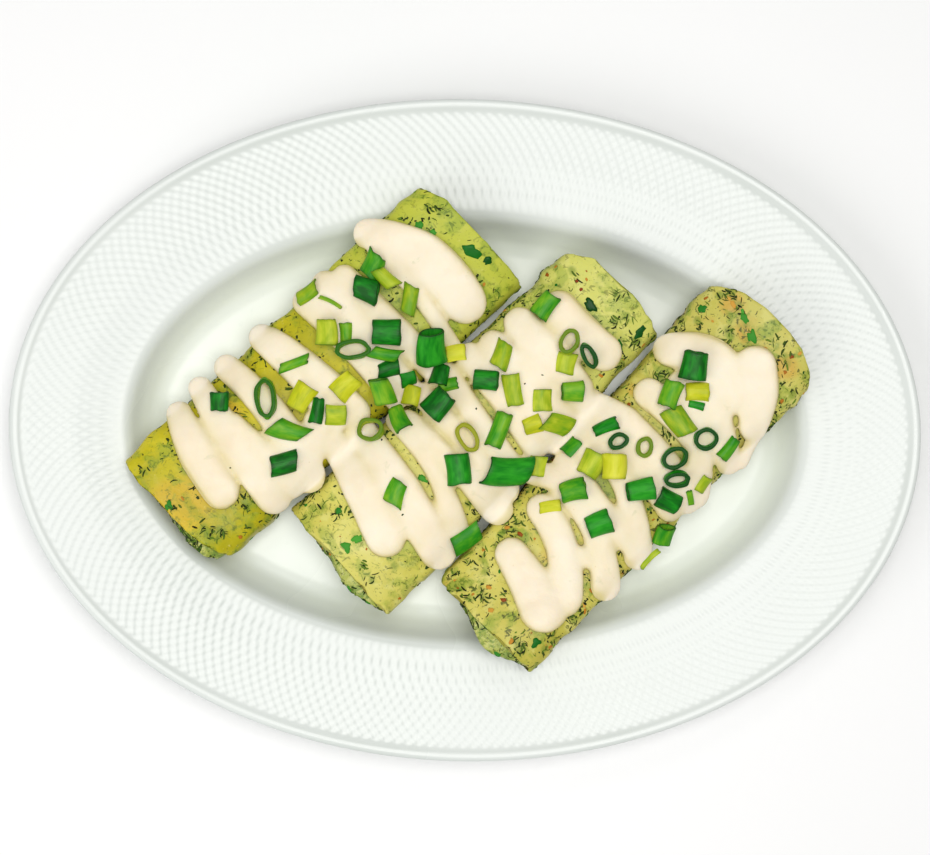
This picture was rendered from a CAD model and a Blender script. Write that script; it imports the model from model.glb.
"""Looks of the plate of three herb crepes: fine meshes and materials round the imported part.

Metres, +Z up, in the frame of the part. Tables of places and sizes are in millimetres
and are turned into metres by MM where they are read. Shapes start from the same
tables and functions as the part's source, and add what its few triangles leave out.
"""

import math
import random
from typing import NamedTuple

import bmesh
import bpy
import numpy as np
from mathutils import Matrix, Vector, kdtree, noise
from mathutils.bvhtree import BVHTree


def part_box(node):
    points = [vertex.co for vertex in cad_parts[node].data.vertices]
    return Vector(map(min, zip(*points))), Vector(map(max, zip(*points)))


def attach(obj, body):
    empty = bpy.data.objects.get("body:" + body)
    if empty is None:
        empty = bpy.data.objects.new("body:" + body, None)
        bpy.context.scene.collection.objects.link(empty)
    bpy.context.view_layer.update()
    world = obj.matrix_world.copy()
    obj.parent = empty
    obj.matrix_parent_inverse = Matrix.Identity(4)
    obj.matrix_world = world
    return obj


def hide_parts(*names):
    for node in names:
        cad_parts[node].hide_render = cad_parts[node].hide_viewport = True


MM = 0.001
UP = Vector((0, 0, 1))
DOWN = Vector((0, 0, -1))
GAP = 0.35 * MM  # kept free between parts that touch in the food
SEED = 7

# Plate, as in the part: each row is (inset from the outer edge, height) in millimetres.
PLATE_LENGTH = 340 * MM
PLATE_WIDTH = 247 * MM
FLOOR_TOP = 5 * MM
PLATE_TOP_PROFILE = [
    (0, 22), (1, 23.5), (3.4, 23.2), (5, 22.3), (24, 19.3),
    (41, 17.6), (44.5, 16.2), (48, 11), (51.5, 7), (57, 5),
]
PLATE_UNDER_PROFILE = [
    (67, 1.6), (65, 0), (59.5, 0), (57.5, 2), (50, 4),
    (44.5, 11.2), (40, 13.8), (22, 15.8), (3.5, 19.6),
]
# The underside of food that lies on the plate follows this gentler curve.
REST_PROFILE = [(0, 24.5), (20, 21.4), (44, 18.7), (52, 15.5), (60, 10.2), (68, 6.6), (78, 5)]

# Relief on the rim: staggered rows of small raised drops with dents between them.
BUMPS_ROUND = 216
SAMPLES_PER_BUMP = 4  # columns of points
SAMPLES_PER_ROW = 3
RELIEF_ROWS = (5.4, 4.6, 3.5, 3, 2.8, 2.6, 2.5, 2.4, 2.2, 2.1, 2, 1.9)  # mm, from the well outwards
RELIEF_START = 39.5  # inset in mm
RELIEF_HEIGHT = 0.17  # mm
CORNER_RADIUS = 2.2  # mm
WELL_FLOOR = 8 * MM  # the glaze is whitest below this height
WELL_TOP = 17.5 * MM
FLOOR_INSETS = (110.0, 80.0)  # rings of the well's flat floor, mm

# Crepes, as in the part
CREPE_HEIGHT = 27 * MM
SKIN_THICKNESS = 1.7 * MM
LAYER_PITCH = SKIN_THICKNESS + GAP
SECTION_POWER = 2.8  # 2 is an ellipse, and more is a fuller section
STEPS_PER_TURN = 20
ROLL_STEPS = 23  # the sheet goes round once and a bit
SEAM_STEP = -4  # its outer edge lies under the roll
END_ROUNDING = 0.22  # share of the length over which the ends set back at their corners
TOP_LIFT = 0.45  # share of the plate's rise that the top of a roll follows
RECESS = 1.5 * MM  # of the filling at the upper end
CORE_SWELL = 1.2 * MM  # of its end faces
BULGE_SPREAD = 0.5

FINE_STEPS = 4  # fine steps for each step of the part's section
FINE_STATIONS = 116  # along the roll
STEP_RUN = 7.5  # sheet in one step, mm
SKIN_EDGE_ROWS = ((0.0, 0.72), (0.14, 0.42), (0.38, 0.17), (0.8, 0.0))  # distance in, thinning, mm
DENT_DEPTH = 0.85 * MM  # of the dents and wrinkles in the outer face
EDGE_WAVE = 1.3 * MM  # how far the sheet's ends wander
EDGE_FADE = 14  # mm from the ends over which the wave fades
EDGE_REACH = 1.2 * MM  # how far the sheet's lower end droops over the filling
SWELL = 1.5 * MM  # how far the flanks stand out
SWELL_WAVE = 8.5  # length of its waves, mm
SWELL_FADE = 9  # mm over which it fades at the ends, 5 less beside a neighbour
FREE_ROOM = 8 * MM  # a flank with this much room swells in waves, else towards its neighbour
LEAST_ROOM = 0.8 * MM  # kept free between two swollen flanks
CAP_RINGS = 9
LUMP = 0.75 * MM  # on the end faces of the fillings
CORE_STATIONS = 48
CORE_ROUGH = 0.35  # mm
BULGE_TURNS = (1.0, 0.82, 0.64, 0.46, 0.28, 0.12)  # shares of the quarter turn at the bulging start

# Sauce
SAUCE_VOXEL = 0.77 * MM
MELT_PASSES = 6
UPPER_FACE = 0.25  # least upward share of the normal of faces that settle
SAUCE_CLEARANCE = 0.5 * MM
STRAND_SIDES = 20
STRAND_STEP = 2.5 * MM
STRAND_CAP_ANGLES = (80, 65, 50, 35, 20)
STRAND_BASE_HEIGHT = 1.8 * MM
STRAND_HEIGHT_SHARE = 0.22
STRAND_POWER = 2.6  # as SECTION_POWER
EDGE_DROP = 0.955  # past this share of a crepe's half width the sauce stays level
COVER_REACH = 9 * MM  # how far from a crepe the sauce still lies at its height
SAUCE_FULL_DEPTH = 3.6 * MM  # cream this deep hides what lies under it
RIPPLE = 0.36 * MM  # of the surface
FLAT_DEPTH = 1.9 * MM  # sauce higher than this above the crepes has slumped
SLUMP = 0.5  # share of that extra height that it loses
SOFTEN_PASSES = 4  # passes that even out what is left
CREASE_PASSES = 40  # passes that fill hollows near the long edges of the crepes
CREASE_REACH = 7 * MM  # how far from those edges

# Scallions
SCALLION_WALL = 0.9 * MM
RING_WALL = 1.4 * MM
RING_HEIGHT = 3.6 * MM
BERRY_SIZE = 9.4 * MM  # cuts at least this large are nodes
SINK = 0.5 * MM  # how deep the smaller ones sit in the sauce
MAX_TILT = 32  # degrees
LEAN = 7  # degrees to either side
SHARP = 38  # degrees between faces whose edge stays sharp
SETTLE = 0.6 * MM  # a cut may move this far from its node's height to lie on the fine sauce
PRESS = 0.25 * MM  # how deep it sinks in
CUT_RAGGED = 0.55 * MM  # how far the cut ends wander
CUT_FORMS = {  # shares of the width across and up, sweep of the bent wall in degrees, sides of its mesh
    "tube": (1, 0.62, 360, 32), "half": (1, 0.8, 170, 18), "strip": (1.25, 1, 95, 12),
}
CUT_EDGE_ROWS = ((0.0, 0.26), (0.10, 0.10), (0.26, 0.0))  # distance in, thinning, mm


class Crepe(NamedTuple):
    name: str
    x: float  # middle of the roll, mm
    y: float
    heading: float  # degrees from +X
    length: float
    width_start: float
    width_end: float
    start_left: float  # how far each corner of the ends lies behind their middle, mm
    start_right: float
    end_left: float
    end_right: float
    bulge: float  # how far the filling stands out at the start, mm
    bulge_side: float  # where across the end it does so, -1 to 1

    def way(self):
        """Ground direction along the roll: the cosine and the sine of its heading."""
        heading = math.radians(self.heading)
        return math.cos(heading), math.sin(heading)

    def height(self, along):
        """Height of the flattened roll: it swells and sinks a little along its length."""
        return CREPE_HEIGHT * (1 + 0.025 * math.sin(9 * along + self.length))

    def half_width(self, along):
        """Half the width at a share of the length; past the ends it is as it is there."""
        along = clamp(along)
        width = self.width_start + (self.width_end - self.width_start) * along
        return (width + 0.7 * math.sin(11 * along + self.heading)) * MM / 2

    def place(self, along, across, extra=0.0):
        """Point on the ground for a share of the length and a distance across."""
        side = min(abs(across) / self.half_width(along), 1.0)
        near_start = max(0.0, 1 - along / END_ROUNDING) ** 2
        near_end = max(0.0, 1 - (1 - along) / END_ROUNDING) ** 2
        start_corner = self.start_left if across < 0 else self.start_right
        end_corner = self.end_left if across < 0 else self.end_right
        setback = start_corner * near_start - end_corner * near_end
        distance = ((along - 0.5) * self.length + setback * side ** 3) * MM + extra
        cosine, sine = self.way()
        return (self.x * MM + distance * cosine + across * sine,
                self.y * MM + distance * sine - across * cosine)

    def local(self, x, y):
        """Share of the length, and distance across, of a point on the ground."""
        cosine, sine = self.way()
        dx = x - self.x * MM
        dy = y - self.y * MM
        return (dx * cosine + dy * sine) / (self.length * MM) + 0.5, dx * sine - dy * cosine

    def section(self, along, step, inset):
        """Point of the rounded section: distance across, and height over its underside."""
        angle = 2 * math.pi * step / STEPS_PER_TURN
        middle = self.height(along) / 2
        across = (self.half_width(along) - inset) * signed_power(math.cos(angle), 2 / SECTION_POWER)
        return across, middle + (middle - inset) * signed_power(math.sin(angle), 2 / SECTION_POWER)

    def point(self, along, step, inset, extra=0.0):
        across, height = self.section(along, step, inset)
        x, y = self.place(along, across, extra)
        return x, y, drape(x, y, height, self.height(along))


CREPES = [
    Crepe("left", -52.3, 20.5, 44.4, 151.0, 54.4, 55.6, 0.5, 6.0, 5.5, 0.5, 5.0, 0.75),
    Crepe("middle", 5.55, 3.25, 45.9, 144.0, 55.4, 48.5, 0.0, -1.0, 8.0, 3.0, 5.5, 0.35),
    Crepe("right", 61.5, -13.6, 48.2, 153.0, 49.5, 54.6, 0.0, -1.5, 8.5, 10.5, 7.5, 0.2),
]


class Strand(NamedTuple):
    x0: float  # first end, mm
    y0: float
    r0: float  # half width there
    mid: float  # half width in the middle
    x1: float
    y1: float
    r1: float
    bow: float = 0.0  # sideways bend in the middle, to the left when positive


STRANDS = [Strand(*row) for row in (
    # across the left crepe, from its lower end upwards
    (-105.4, 3.2, 5, 7.4, -88.7, -24.6, 6.8, -0.6), (-98.2, 13, 4.6, 6.8, -70, -26.5, 6.4),
    (-85, 0, 4.4, 5.6, -63.5, -21, 6), (-88.6, 21, 5, 6.2, -57.8, -17.8, 7, 3.6),
    (-54, 2, 5.5, 5.2, -57, -13, 5), (-75.9, 32.4, 5.2, 3.8, -48, 2, 4.6, 0.3),
    (-72, 31.5, 4.7, 4.2, -40, 6, 5.2, 2.2), (-59.4, 46, 5.6, 5, -26, 12, 5.2, 0.8),
    (-52.5, 52, 5.8, 5.6, -21, 14, 5.4), (-45.5, 55, 4.8, 5.3, -10.5, 20.5, 5, 0.4),
    (-33, 66.5, 4.8, 3.2, -5.5, 31.5, 3.2, 0.8), (-37, 71, 5.9, 9, -1.5, 47.5, 8.4, 4.6),
    # across the middle crepe
    (-48, -6, 5.5, 6.9, -28, -40, 7.6, 0.6), (-38, -1, 5.4, 7.8, -8.7, -45, 7, 0.6),
    (-25, 3, 4.4, 3.6, -2, -38.5, 5.4, 3.6), (-20.5, 2.6, 4.4, 4.2, 12.3, -28.5, 6.3, 0.6),
    (-16, 12.5, 4.6, 3.9, 15.5, -21.5, 5.4, 0.6), (-8, 21, 5, 4.5, 17, -12, 4.6),
    (1.2, 27.2, 5.4, 4.6, 26, -5, 5.2), (10, 31.5, 5.7, 6.9, 33, -3, 5.4, 0.8),
    (19.5, 39.6, 6.3, 7.4, 41, 17, 6), (22, 27, 5, 5.5, 33, 9, 5),
    (33.6, 45.6, 6.8, 7.4, 50, 30, 7.1, -0.8),
    # over the two creases, from crepe to crepe
    (14, -12, 4.8, 4.8, 38, -18, 5), (34, 7, 6, 5.6, 46, -6, 5.4), (44, 12, 5.6, 6, 58, 5, 6),
    # across the right crepe, from its upper end downwards
    (105.4, 25.5, 8.2, 8, 105.8, 4, 5.6, 1), (107, 3, 3.6, 2.2, 102.2, -9, 3, 0.6),
    (75.3, 31.3, 6.7, 8.3, 98, 15.6, 7.6, 5.6), (90, 18, 7.6, 5.2, 97.5, -9, 5.2, -0.4),
    (80, 18, 6.8, 4.5, 85.6, -21, 6, 3), (67.5, 15, 6, 4.4, 86, -6, 3.6, 0.8),
    (59, 5, 5.6, 7.4, 82.4, -23, 6.2), (52, 5, 5.6, 4.8, 76, -27, 5),
    (45, 2, 5.6, 4.4, 65, -44.2, 5.9, 4.5), (38, -12, 5.2, 4.4, 61.2, -39.4, 4.7),
    (37, -20, 5, 4.9, 53.2, -55.8, 5.9, 3.9), (40, -43, 3, 3.4, 48, -47, 3.4),
    (29.5, -28.6, 6.2, 6.2, 37.8, -60.6, 7, 3.6), (18.5, -45.3, 6.5, 7.8, 30.4, -63.6, 9.7, 0.2),
)]


class Cut(NamedTuple):
    kind: str  # tube, ring, half or strip
    tone: str  # dark, mid, lime or yellow
    x: float  # mm
    y: float
    heading: float  # degrees
    length: float
    width: float
    slant: float = 0.0  # how far the cut ends lean, mm
    pitch: float = 0.0  # how far the forward end is raised, degrees
    off_sauce: bool = False  # lies on a bare crepe


CUTS = [Cut(*row) for row in (
    # on the left crepe
    ("half", "lime", -59, 49, 35, 9.5, 5.5, 1), ("strip", "lime", -50.5, 45.5, -25, 10, 1.6),
    ("half", "mid", -63.2, 22.8, 22, 12, 3.6, 1), ("half", "mid", -34.8, 59.6, 70, 9.6, 8, 1.5),
    ("tube", "dark", -37.2, 50.2, -20, 9.6, 8.6, -1), ("half", "lime", -30, 54.6, -42, 9.6, 5.4, 1),
    ("half", "lime", -21.4, 47.2, 82, 11.4, 5.8, 1), ("tube", "dark", -29.5, 35, 0, 11, 9.4),
    ("tube", "lime", -51.5, 34.5, 92, 10, 8), ("half", "mid", -44.6, 34.6, 92, 8, 4.6),
    ("ring", "mid", -41.5, 28.4, 5, 13, 7.4), ("half", "mid", -29.6, 27.2, -8, 11.4, 4.6, 1.5),
    ("half", "dark", -28.6, 21.8, 22, 9, 6.4, 1), ("tube", "mid", -30.6, 13.4, 112, 10.4, 7.8, 1),
    ("half", "mid", -23.6, 3.4, -60, 11, 6.4), ("strip", "dark", -21.5, 18.5, 15, 6.4, 6.2),
    ("strip", "yellow", -20, 12.2, 80, 8, 7), ("strip", "yellow", -43.9, 15, 45, 10.2, 8.8),
    ("strip", "yellow", -60, 10.5, 60, 10.5, 8.6), ("half", "dark", -54.2, 5.8, 82, 10, 4.8),
    ("strip", "lime", -47.5, 4.6, 0, 8.4, 8.2), ("ring", "lime", -34.6, -0.6, 10, 10, 8.6),
    ("half", "mid", -64.4, -1.6, -16, 13.2, 7, 2.5), ("tube", "dark", -90, 8.2, 90, 7.6, 7, 0, 14),
    ("ring", "mid", -73, 9.8, 96, 15, 7.6), ("half", "dark", -66, -13.8, 16, 10.6, 8, 1),
    # on the middle crepe
    ("strip", "mid", -24.4, -23.6, 72, 9.6, 7.6, 1), ("tube", "dark", -12.8, 30, 98, 13.5, 10.8, 0, 16),
    ("strip", "yellow", -4, 28, 10, 8, 6.6), ("half", "dark", -9.6, 19.8, 80, 8.4, 7),
    ("half", "mid", -6.4, 16.6, 12, 8, 5), ("tube", "dark", -10, 9.4, 48, 10.6, 9.6, 0, 8),
    ("tube", "dark", 7.2, 18.4, -3, 9.6, 7.4), ("half", "lime", 12.8, 28, 74, 10.4, 6.8, 1),
    ("strip", "lime", 17.4, 15.2, 102, 12.6, 7), ("half", "mid", 12.4, 0.4, 70, 14, 6.4),
    ("ring", "yellow", 1, -2.6, -58, 11.5, 7.4), ("half", "dark", -2.2, -14.4, 98, 12, 9),
    ("half", "dark", 15.8, -14.2, -2, 17.5, 10.6, 2), ("strip", "lime", 27.4, -12.6, 85, 8, 6.4),
    ("strip", "yellow", 24.8, 2.6, 20, 7.4, 7), ("strip", "lime", 33.8, 3, -18, 11.6, 8.2, 1.5),
    ("strip", "lime", 28.2, 11.8, 92, 9, 7.6), ("tube", "mid", 39, 15.2, 2, 8.6, 7.4),
    ("ring", "lime", 37.2, 33.2, 70, 9.6, 7.2), ("strip", "lime", 36.6, 25.4, 80, 8.4, 7.6),
    ("ring", "dark", 44.6, 28.2, -62, 10, 5.2), ("tube", "mid", 28.4, 46.2, 54, 10.4, 7.2),
    ("strip", "mid", 1.6, -39.6, 36, 12.5, 8, 1),
    # on the right crepe
    ("strip", "mid", 39.6, -5.2, 48, 7.4, 6.4), ("half", "lime", 46.8, -11.2, 62, 9.8, 8.8),
    ("tube", "mid", 40.2, -21.2, 15, 10, 8), ("strip", "yellow", 32, -27.4, 10, 8.6, 4.6),
    ("half", "dark", 50, -33.2, 22, 9.8, 8.8), ("half", "dark", 51.8, 2.4, 22, 10.2, 4.8),
    ("ring", "dark", 56.2, -2.6, 25, 7.6, 6), ("ring", "lime", 65.8, -4.6, 80, 7.8, 6.2),
    ("half", "yellow", 54.6, -11.8, 90, 10.2, 9), ("tube", "dark", 64.6, -20.2, 190, 10.8, 7.6, 0, 10),
    ("ring", "dark", 76.8, -8.2, 30, 9.8, 7.8), ("ring", "dark", 77.8, -16, 5, 9.5, 6.2),
    ("half", "dark", 75, -23.8, -26, 9.8, 7.6), ("strip", "mid", 83.2, -22.6, -72, 7, 2.6),
    ("half", "lime", 78.2, 5.2, -52, 12, 8.4, 1), ("ring", "dark", 88.2, -1, 20, 9.2, 8),
    ("half", "mid", 96.6, -4.2, 55, 9.6, 4.8), ("strip", "lime", 88, -17.4, 60, 7, 5.2),
    ("tube", "mid", 74.4, -36.8, 80, 8, 7.2, 0, 18, True), ("strip", "lime", 69.6, -46, 47, 10, 2.2),
    ("tube", "dark", 82.8, 25.6, 82, 10.8, 9.6, 0, 12), ("half", "mid", 74.8, 14.8, 70, 10.4, 7.2),
    ("half", "yellow", 84.8, 16, 0, 9.2, 7), ("strip", "dark", 84.4, 11.2, -12, 6.8, 3),
)]


class HerbMix(NamedTuple):
    fronds: int  # curly clusters of dill
    flecks: int  # short single strands
    leaves: int  # pieces of flat leaf
    bits: int  # small orange and red bits


HERB_MIXES = {
    "left": HerbMix(40, 150, 8, 6),
    "middle": HerbMix(70, 190, 16, 26),
    "right": HerbMix(115, 320, 18, 58),
}

# Herbs that stand out in the photo, in millimetres: leaf pieces and orange bits have a size too,
# and bits a tone from red, 0, to pale orange, 1
LEAF_PLACES = [
    (-107.3, -30.3, 3.4), (-42.5, -44, 3.6), (-38.6, -41, 3.2), (-35.9, -60.2, 4.4), (-15.1, -18.2, 2.8),
    (27.9, -76.8, 3.6), (104, 36.9, 3.8), (100.9, 43.4, 3), (85.6, 46.7, 3.4), (44.8, 47.1, 4.2),
    (63.6, 37.7, 3.6), (56.1, 32.4, 3), (1, 65.3, 5.4), (6.5, 62.1, 3.6), (65.8, 62.9, 3),
    (-18.6, 74.2, 3.2), (-13.7, 71.1, 3), (-45.8, -30.9, 2.6), (3.7, -69.7, 3), (9.2, -71.8, 2.4),
]
DILL_PLACES = [
    (-116.7, -18.2), (-92.8, -40.9), (-80.4, -28.5), (-71.9, -34.5), (-79.3, -30.7), (-55.2, -30.1),
    (-45.8, -30.9), (-32.8, -55.4), (-36.9, -50.7), (7.3, -57.3), (8.2, -60.5), (92, 51.6), (115.8, 30.3),
    (112.8, 33.9), (109.7, 28.3), (80.7, 49.5), (84.6, 42.3), (95.6, 38.9), (-11, 78.8), (-15.4, 80.9),
    (10.8, 51.3), (14.5, 47.8), (62.9, 34.4), (53.6, 41.5), (58.3, 43.4), (34.5, 48.3), (3.5, -61.7),
    (0.5, -58.2), (-2.2, -52.8), (22.1, -79.5), (31.2, -79.2), (41.8, -68.1), (-4.2, -47.4),
]
BIT_PLACES = [
    (10.3, -57.2, 2.4, 0.7), (11.2, -65.5, 2.6, 0.8), (15.8, -61.8, 2.2, 0.05), (18.8, -76.3, 2.6, 0.6),
    (33.4, -78.5, 2.4, 0.4), (96.8, 48.4, 3.4, 0.9), (87.3, 50.7, 2, 0.3), (118.4, 29.7, 2.2, 0.1),
    (108.9, 32.3, 2.4, 0.7), (39.8, 55.7, 1.8, 0), (41.3, 52.8, 1.6, 0), (32, 61, 1.8, 0.5),
    (59.9, 10.7, 2, 0.2), (21.1, -37.6, 2.2, 0.1), (116.3, 24.1, 2, 0.3), (80.7, 53.1, 2.2, 0.7),
]
SPECK_PLACES = [  # dark bits that lie on the cream
    (27.9, 20.9), (12.9, 40.4), (21.5, 17.6), (-30.5, -4.3), (-22, -31.5), (-85.5, -16), (4, 8),
]

# How the other herbs are scattered
STRAND_BIT = 0.6 * MM  # length of one straight bit of a curly strand
STRAND_SUNK = 0.06  # mm
TUFT_STRANDS = (2, 3, 4, 5, 7, 11, 15)  # strands in a tuft, one of these
TUFT_SPREAD = 1.3 * MM
UNDER_SAUCE = 0.08  # share of the herbs below the sauce that are made
BESIDE = 2.4 * MM  # bare places this close to the sauce are darker with herbs
SLIT_TRIES = 1000  # places looked at for that on each crepe
SLIT_TUFTS = 0.35  # share of the places found that have a tuft too
STAIN_REACH = 3.4 * MM  # how far the green round a tuft shows
CROWN = 12 * MM  # above this the bulging filling shows from above
END_TUFTS = 105  # on each end of a filling
END_LEAVES = 22
END_BITS = 8


class SkinLook(NamedTuple):
    tones: tuple  # batter from deep to pale
    toast: str
    toast_from: float  # noise above this is browned
    cloud: float  # share of green that the clouds under the surface add
    pale: float  # share of pale curd that shows through
    fleck: float  # share of dark that the finest herbs add
    far: str  # tone towards the upper end
    patches: tuple = ()  # golden places: (x, y, radius) in mm


# Colours as they look in daylight, written as sRGB hex
SKIN_LOOKS = {
    "left": SkinLook(
        ("9f9a12", "bab11a", "cabe22", "d5c934"), "dab034", 0.66, 0.50, 0.08, 0.35, "b3c24e",
        ((-103, -30, 13), (-90, -22, 8), (-88, 2, 7)),
    ),
    "middle": SkinLook(("b4af44", "c9c258", "d5ce66", "ded98a"), "d6b24c", 0.68, 0.42, 0.40, 0.5, "ccd06a"),
    "right": SkinLook(
        ("aaa53e", "c2b950", "cfc65e", "dcd584"), "cc983a", 0.62, 0.66, 0.35, 0.85, "c2bc5c",
        ((97, 48, 6), (116, 26, 6)),
    ),
}
SCALLION_COLOURS = {
    "dark": ("07560d", "0f7e13", "2c9e1f", "063a0a"),
    "mid": ("248512", "4c9c14", "82b422", "1c5a0a"),
    "lime": ("6ea018", "9cb41c", "c0cc34", "5a7c12"),
    "yellow": ("aab41a", "c6ca1e", "d8d83c", "8e9418"),
}


# Colour and node helpers

def linear(code):
    """Linear RGBA of an sRGB hex colour."""
    values = []
    for i in (0, 2, 4):
        share = int(code[i:i + 2], 16) / 255
        values.append(share / 12.92 if share <= 0.04045 else ((share + 0.055) / 1.055) ** 2.4)
    return (*values, 1.0)


class Painter:
    """One Principled material and short calls that add nodes to it. Colours are hex codes."""

    def __init__(self, name, **settings):
        self.material = bpy.data.materials.new(name)
        self.material.use_nodes = True
        self.tree = self.material.node_tree
        self.shader = self.tree.nodes["Principled BSDF"]
        self.place = self.node("TexCoord", "Object")
        self.colour = None
        for socket, value in settings.items():
            self.shader.inputs[socket.replace("_", " ")].default_value = value

    def feed(self, socket, value):
        """Set a socket to a number or colour, or link it to an output."""
        if isinstance(value, bpy.types.NodeSocket):
            self.tree.links.new(value, socket)
        else:
            socket.default_value = linear(value) if isinstance(value, str) else value

    def node(self, kind, output, feeds=None, **settings):
        """Add a node with its settings, feed its sockets and give one of its outputs."""
        node = self.tree.nodes.new("ShaderNode" + kind)
        for name, value in settings.items():
            setattr(node, name, value)
        for socket, value in (feeds or {}).items():
            self.feed(node.inputs[socket], value)
        return node.outputs[output]

    def attribute(self, name, output="Fac"):
        return self.node("Attribute", output, attribute_name=name)

    def noise(self, scale, detail=3.0, distortion=0.0, rough=0.5, shift=None, place=None, squeeze=(1, 1, 1)):
        """Noise over the piece or another vector; a shift makes it differ from its like."""
        place = place or self.place
        if shift:
            place = self.node("Mapping", "Vector", {"Vector": place, "Location": shift, "Scale": squeeze})
        feeds = {"Scale": scale, "Detail": detail, "Roughness": rough, "Distortion": distortion}
        return self.node("TexNoise", "Fac", {"Vector": place, **feeds})

    def ramp(self, value, *stops):
        """Colour for a value, from (position, colour) stops."""
        colour = self.node("ValToRGB", "Color", {"Fac": value})
        elements = colour.node.color_ramp.elements
        while len(elements) < len(stops):
            elements.new(0.5)
        for element, (position, code) in zip(elements, stops):
            element.position = position
            element.color = linear(code)
        return colour

    def step(self, value, low, high, floor=0.0, top=1.0):
        """Smooth rise from floor to top between low and high."""
        feeds = {"Value": value, "From Min": low, "From Max": high, "To Min": floor, "To Max": top}
        return self.node("MapRange", "Result", feeds, interpolation_type="SMOOTHSTEP")

    def height(self):
        """Height above the table."""
        return self.node("SeparateXYZ", "Z", {0: self.place})

    def patch(self, x, y, radius, ragged):
        """Share that fades out from a place on the ground plan, with an edge made ragged by a noise."""
        flat = self.node("VectorMath", "Vector", {0: self.place, 1: (1, 1, 0)}, operation="MULTIPLY")
        away = self.node("VectorMath", "Value", {0: flat, 1: (x, y, 0)}, operation="DISTANCE")
        value = self.plus(self.times(away, 1 / radius), self.times(ragged, 1.6))
        return self.step(value, 1.25, 1.9, 0.75, 0.0)

    def times(self, a, b):
        return self.node("Math", "Value", {0: a, 1: b}, operation="MULTIPLY")

    def plus(self, a, b):
        return self.node("Math", "Value", {0: a, 1: b}, operation="ADD")

    def mix(self, share, a, b):
        return self.node("Mix", 2, {0: share, 6: a, 7: b}, data_type="RGBA")

    def lay(self, share, code):
        """Lay a share of a colour over the piece's colour."""
        self.colour = self.mix(share, self.colour, code)

    def cover(self, value, low, high, share, code):
        """Lay a colour where a value rises from low to high, up to a share."""
        self.lay(self.step(value, low, high, 0.0, share), code)

    def dots(self, scale, size, share, code):
        """Lay a colour in scattered round dots."""
        cells = self.node("TexVoronoi", "Distance", {"Vector": self.place, "Scale": scale})
        self.lay(self.step(cells, 0.0, size, share, 0.0), code)

    def bump(self, height, distance, strength):
        feeds = {"Height": height, "Distance": distance, "Strength": strength}
        self.feed(self.shader.inputs["Normal"], self.node("Bump", "Normal", feeds))

    def finish(self, roughness):
        self.feed(self.shader.inputs["Base Color"], self.colour)
        self.feed(self.shader.inputs["Roughness"], roughness)
        return self.material


# Materials

def glaze_material():
    """White glaze with a faint cool tint, whitest low in the well."""
    paint = Painter("white_glaze", Specular_IOR_Level=0.5, IOR=1.5)
    broad = paint.noise(14, 2.0)
    paint.colour = paint.ramp(broad, (0.3, "d4dad5"), (0.7, "dde2de"))
    paint.lay(paint.step(paint.height(), WELL_FLOOR, WELL_TOP, 1.0, 0.0), "eaf0e9")
    paint.cover(paint.noise(260), 0.62, 0.8, 0.25, "d9e0da")
    paint.bump(paint.noise(90, 2.0), 0.00012, 0.35)
    return paint.finish(paint.step(broad, 0.3, 0.7, 0.24, 0.32))


def soft_painter(name, specular, weight, scale, radius):
    """A material that lets some light through; the radius is for red, green and blue."""
    depth = {"Subsurface_Weight": weight, "Subsurface_Scale": scale, "Subsurface_Radius": radius}
    return Painter(name, Specular_IOR_Level=specular, **depth)


def skin_material(name):
    """Fried herb batter: translucent yellow-green with herbs that show through and browned spots."""
    look = SKIN_LOOKS[name]
    paint = soft_painter("crepe_skin_" + name, 0.22, 0.15, 0.002, (1.0, 0.8, 0.25))
    broad = paint.noise(44, 4.0, 0.3)
    grain = paint.noise(520, 4.0, 0.2, 0.6)
    paint.colour = paint.ramp(broad, *zip((0.28, 0.44, 0.58, 0.76), look.tones))
    paint.cover(paint.attribute("along"), 0.45, 0.8, 0.65, look.far)
    curd = paint.noise(170, 3.0, 0.3, shift=(0.21, 0.4, 0.1))
    paint.cover(curd, 0.52, 0.66, look.pale, "dfdb88")
    toast = paint.noise(36, 3.0, 0.4, shift=(0.31, 0.17, 0.05))
    paint.cover(toast, look.toast_from, look.toast_from + 0.12, 0.7, look.toast)
    for x, y, radius in look.patches:
        paint.lay(paint.times(paint.patch(x * MM, y * MM, radius * MM, toast), 0.8), look.toast)
    herb = paint.plus(paint.attribute("herb"), paint.times(curd, 0.8))
    paint.cover(herb, 0.70, 1.25, 0.7, "728a28")
    clouds = paint.noise(105, 3.0, 0.5, 0.55, (0.5, 0.3, 0.2))
    paint.cover(clouds, 0.49, 0.62, look.cloud, "86a030")
    veins = paint.noise(330, 4.0, 1.8, 0.6)
    sunk = paint.times(paint.step(clouds, 0.50, 0.62), paint.step(veins, 0.50, 0.62, 0.0, 0.75))
    paint.lay(sunk, "56701f")
    paint.cover(paint.noise(230, 5.0, 1.6, 0.62, (0.11, 0.23, 0.4)), 0.61, 0.70, 0.6, "66782a")
    paint.cover(paint.noise(400, 2.0, 1.4, 0.55, (0.7, 0.1, 0.3)), 0.60, 0.67, look.fleck, "4d5522")
    paint.cover(grain, 0.62, 0.76, 0.3, "e7df90")
    paint.dots(430, 0.15, 0.5, "5f5a20")
    paint.bump(paint.plus(paint.times(clouds, 0.7), paint.times(grain, 0.3)), 0.0007, 0.6)
    return paint.finish(paint.step(broad, 0.3, 0.7, 0.34, 0.5))


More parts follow.
